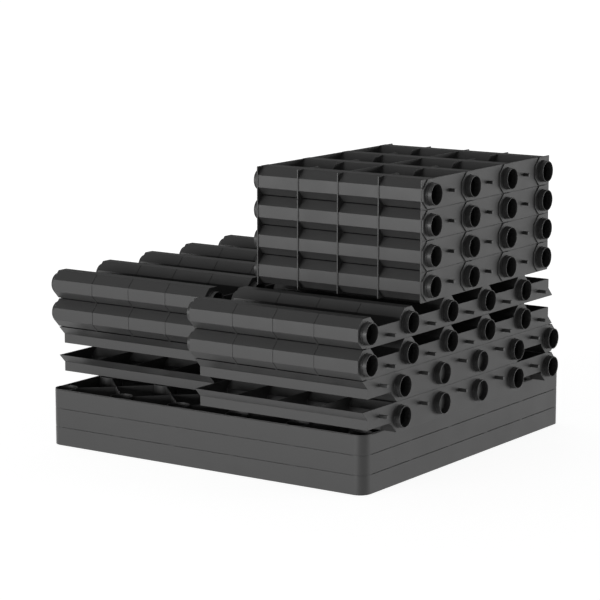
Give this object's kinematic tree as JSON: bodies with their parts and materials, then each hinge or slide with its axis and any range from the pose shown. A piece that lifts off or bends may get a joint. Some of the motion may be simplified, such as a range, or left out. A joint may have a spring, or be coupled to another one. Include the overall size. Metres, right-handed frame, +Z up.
{
  "type": "soakaway crate",
  "caption": "Flat-packed soakaway crate in dark grey plastic: lattice deck plates with walls and core panels of octagonal tubes with round spigots, stacked for transport.",
  "frame": {"origin": "on the ground, under the centre of the whole stack", "axes": "+X along the tubes to the ends that face the viewer on the right, +Y across the tubes to the back, +Z up from the ground"},
  "size_m": [1.319, 1.3302, 0.908],
  "materials": {
    "polypropylene": "injection-moulded polypropylene, dark grey, fine matt mould texture"
  },
  "bodies": {
    "root": {"base_plate": "polypropylene", "middle_plate": "polypropylene", "cover_plate": "polypropylene", "left_wall_1": "polypropylene", "left_wall_2": "polypropylene", "left_wall_3": "polypropylene", "left_wall_4": "polypropylene", "right_wall_1": "polypropylene", "right_wall_2": "polypropylene", "right_wall_3": "polypropylene", "right_wall_4": "polypropylene", "core_panel_1": "polypropylene", "core_panel_2": "polypropylene", "core_panel_3": "polypropylene", "core_panel_4": "polypropylene"}
  },
  "joints": []
}
